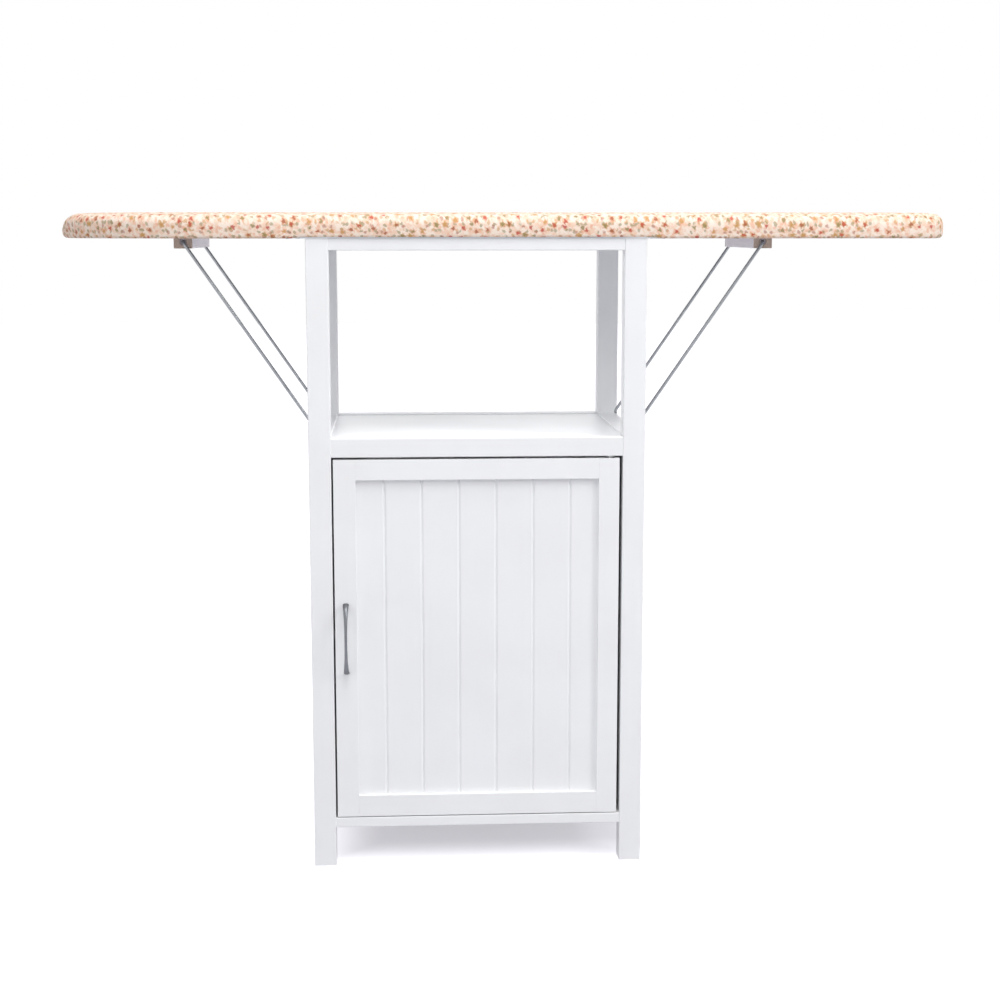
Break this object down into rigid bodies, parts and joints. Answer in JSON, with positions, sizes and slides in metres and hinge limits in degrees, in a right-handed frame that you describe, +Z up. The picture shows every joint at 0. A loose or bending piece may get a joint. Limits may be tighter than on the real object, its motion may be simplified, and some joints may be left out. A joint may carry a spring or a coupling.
{
  "type": "ironing board cabinet",
  "caption": "Narrow white cupboard with a beadboard door and open niche under a padded ironing board, whose drop leaves are held up by pivoting wire stays.",
  "frame": {"origin": "centre of the base of the whole piece's box, on the floor the posts stand on", "axes": "+X along the ironing board from its rounded nose to its square end, +Y from the door to the back, +Z up"},
  "size_m": [1.211, 0.374, 0.9],
  "materials": {
    "white_paint": "satin white paint over solid wood and board, edges slightly eased",
    "hardboard": "matt white painted hardboard",
    "batten_paint": "thin matt off-white paint, bare brownish end grain",
    "board_wood": "white-faced particle board, seen only from below",
    "padded_cover": "printed cotton with a small floral pattern on a cream ground, over felt and foam",
    "stay_wire": "drawn zinc-plated wire, satin",
    "zinc_steel": "zinc-plated steel, satin",
    "satin_nickel": "satin nickel plate",
    "nylon": "moulded off-white nylon"
  },
  "bodies": {
    "cabinet": {"post_front_left": "white_paint", "post_rear_left": "white_paint", "post_front_right": "white_paint", "post_rear_right": "white_paint", "top_rail_front": "white_paint", "top_rail_rear": "white_paint", "top_rail_left": "white_paint", "top_rail_right": "white_paint", "shelf_rail_front": "white_paint", "shelf_rail_rear": "white_paint", "shelf_rail_left": "white_paint", "shelf_rail_right": "white_paint", "bottom_rail_front": "white_paint", "bottom_rail_rear": "white_paint", "bottom_rail_left": "white_paint", "bottom_rail_right": "white_paint", "shelf_deck": "white_paint", "floor_deck": "white_paint", "side_panel_left": "white_paint", "side_panel_right": "white_paint", "back_panel": "hardboard", "inner_shelf": "white_paint", "shelf_cleat_left": "white_paint", "shelf_cleat_right": "white_paint", "pivot_bush_top": "nylon", "pivot_bush_bottom": "nylon", "magnetic_catch": "nylon", "centre_board": "board_wood", "centre_pad": "padded_cover", "left_hinge_fixed_leaf": "zinc_steel", "left_hinge_pin": "zinc_steel", "right_hinge_fixed_leaf": "zinc_steel", "right_hinge_pin": "zinc_steel"},
    "door": {"door_stile_handle_side": "white_paint", "door_stile_hinge_side": "white_paint", "door_rail_top": "white_paint", "door_rail_bottom": "white_paint", "door_bead_panel": "white_paint", "door_handle": "satin_nickel", "handle_screw_lower": "zinc_steel", "handle_screw_upper": "zinc_steel", "pivot_pin_top": "zinc_steel", "pivot_pin_bottom": "zinc_steel", "strike_plate": "zinc_steel"},
    "left_leaf": {"left_leaf_board": "board_wood", "left_leaf_pad": "padded_cover", "left_hinge_moving_leaf": "zinc_steel", "left_leaf_batten": "batten_paint"},
    "right_leaf": {"right_leaf_board": "board_wood", "right_leaf_pad": "padded_cover", "right_hinge_moving_leaf": "zinc_steel", "right_leaf_batten": "batten_paint"},
    "left_stay": {"left_stay_rod": "stay_wire", "left_stay_front_arm": "stay_wire", "left_stay_rear_arm": "stay_wire"},
    "right_stay": {"right_stay_rod": "stay_wire", "right_stay_front_arm": "stay_wire", "right_stay_rear_arm": "stay_wire"}
  },
  "joints": [
    {"name": "door_pivot", "type": "hinge", "parent": "cabinet", "child": "door", "pos_m": [0.1502, -0.153, 0.321], "axis": [0, 0, 1], "range_deg": [0, 105]},
    {"name": "left_leaf_fold", "type": "hinge", "parent": "cabinet", "child": "left_leaf", "pos_m": [-0.2845, 0.0095, 0.868], "axis": [0, -1, 0], "range_deg": [0, 90]},
    {"name": "right_leaf_fold", "type": "hinge", "parent": "cabinet", "child": "right_leaf", "pos_m": [0.2215, 0.0095, 0.868], "axis": [0, 1, 0], "range_deg": [0, 90]},
    {"name": "left_stay_pivot", "type": "hinge", "parent": "left_leaf", "child": "left_stay", "pos_m": [-0.4275, 0.0135, 0.862], "axis": [0, -1, 0], "range_deg": [-15, 0]},
    {"name": "right_stay_pivot", "type": "hinge", "parent": "right_leaf", "child": "right_stay", "pos_m": [0.3645, 0.0055, 0.862], "axis": [0, 1, 0], "range_deg": [-15, 0]}
  ],
  "couplings": [
    {"joint": "left_stay_pivot", "follows": "left_leaf_fold", "ratio": -0.16},
    {"joint": "right_stay_pivot", "follows": "right_leaf_fold", "ratio": -0.16}
  ]
}
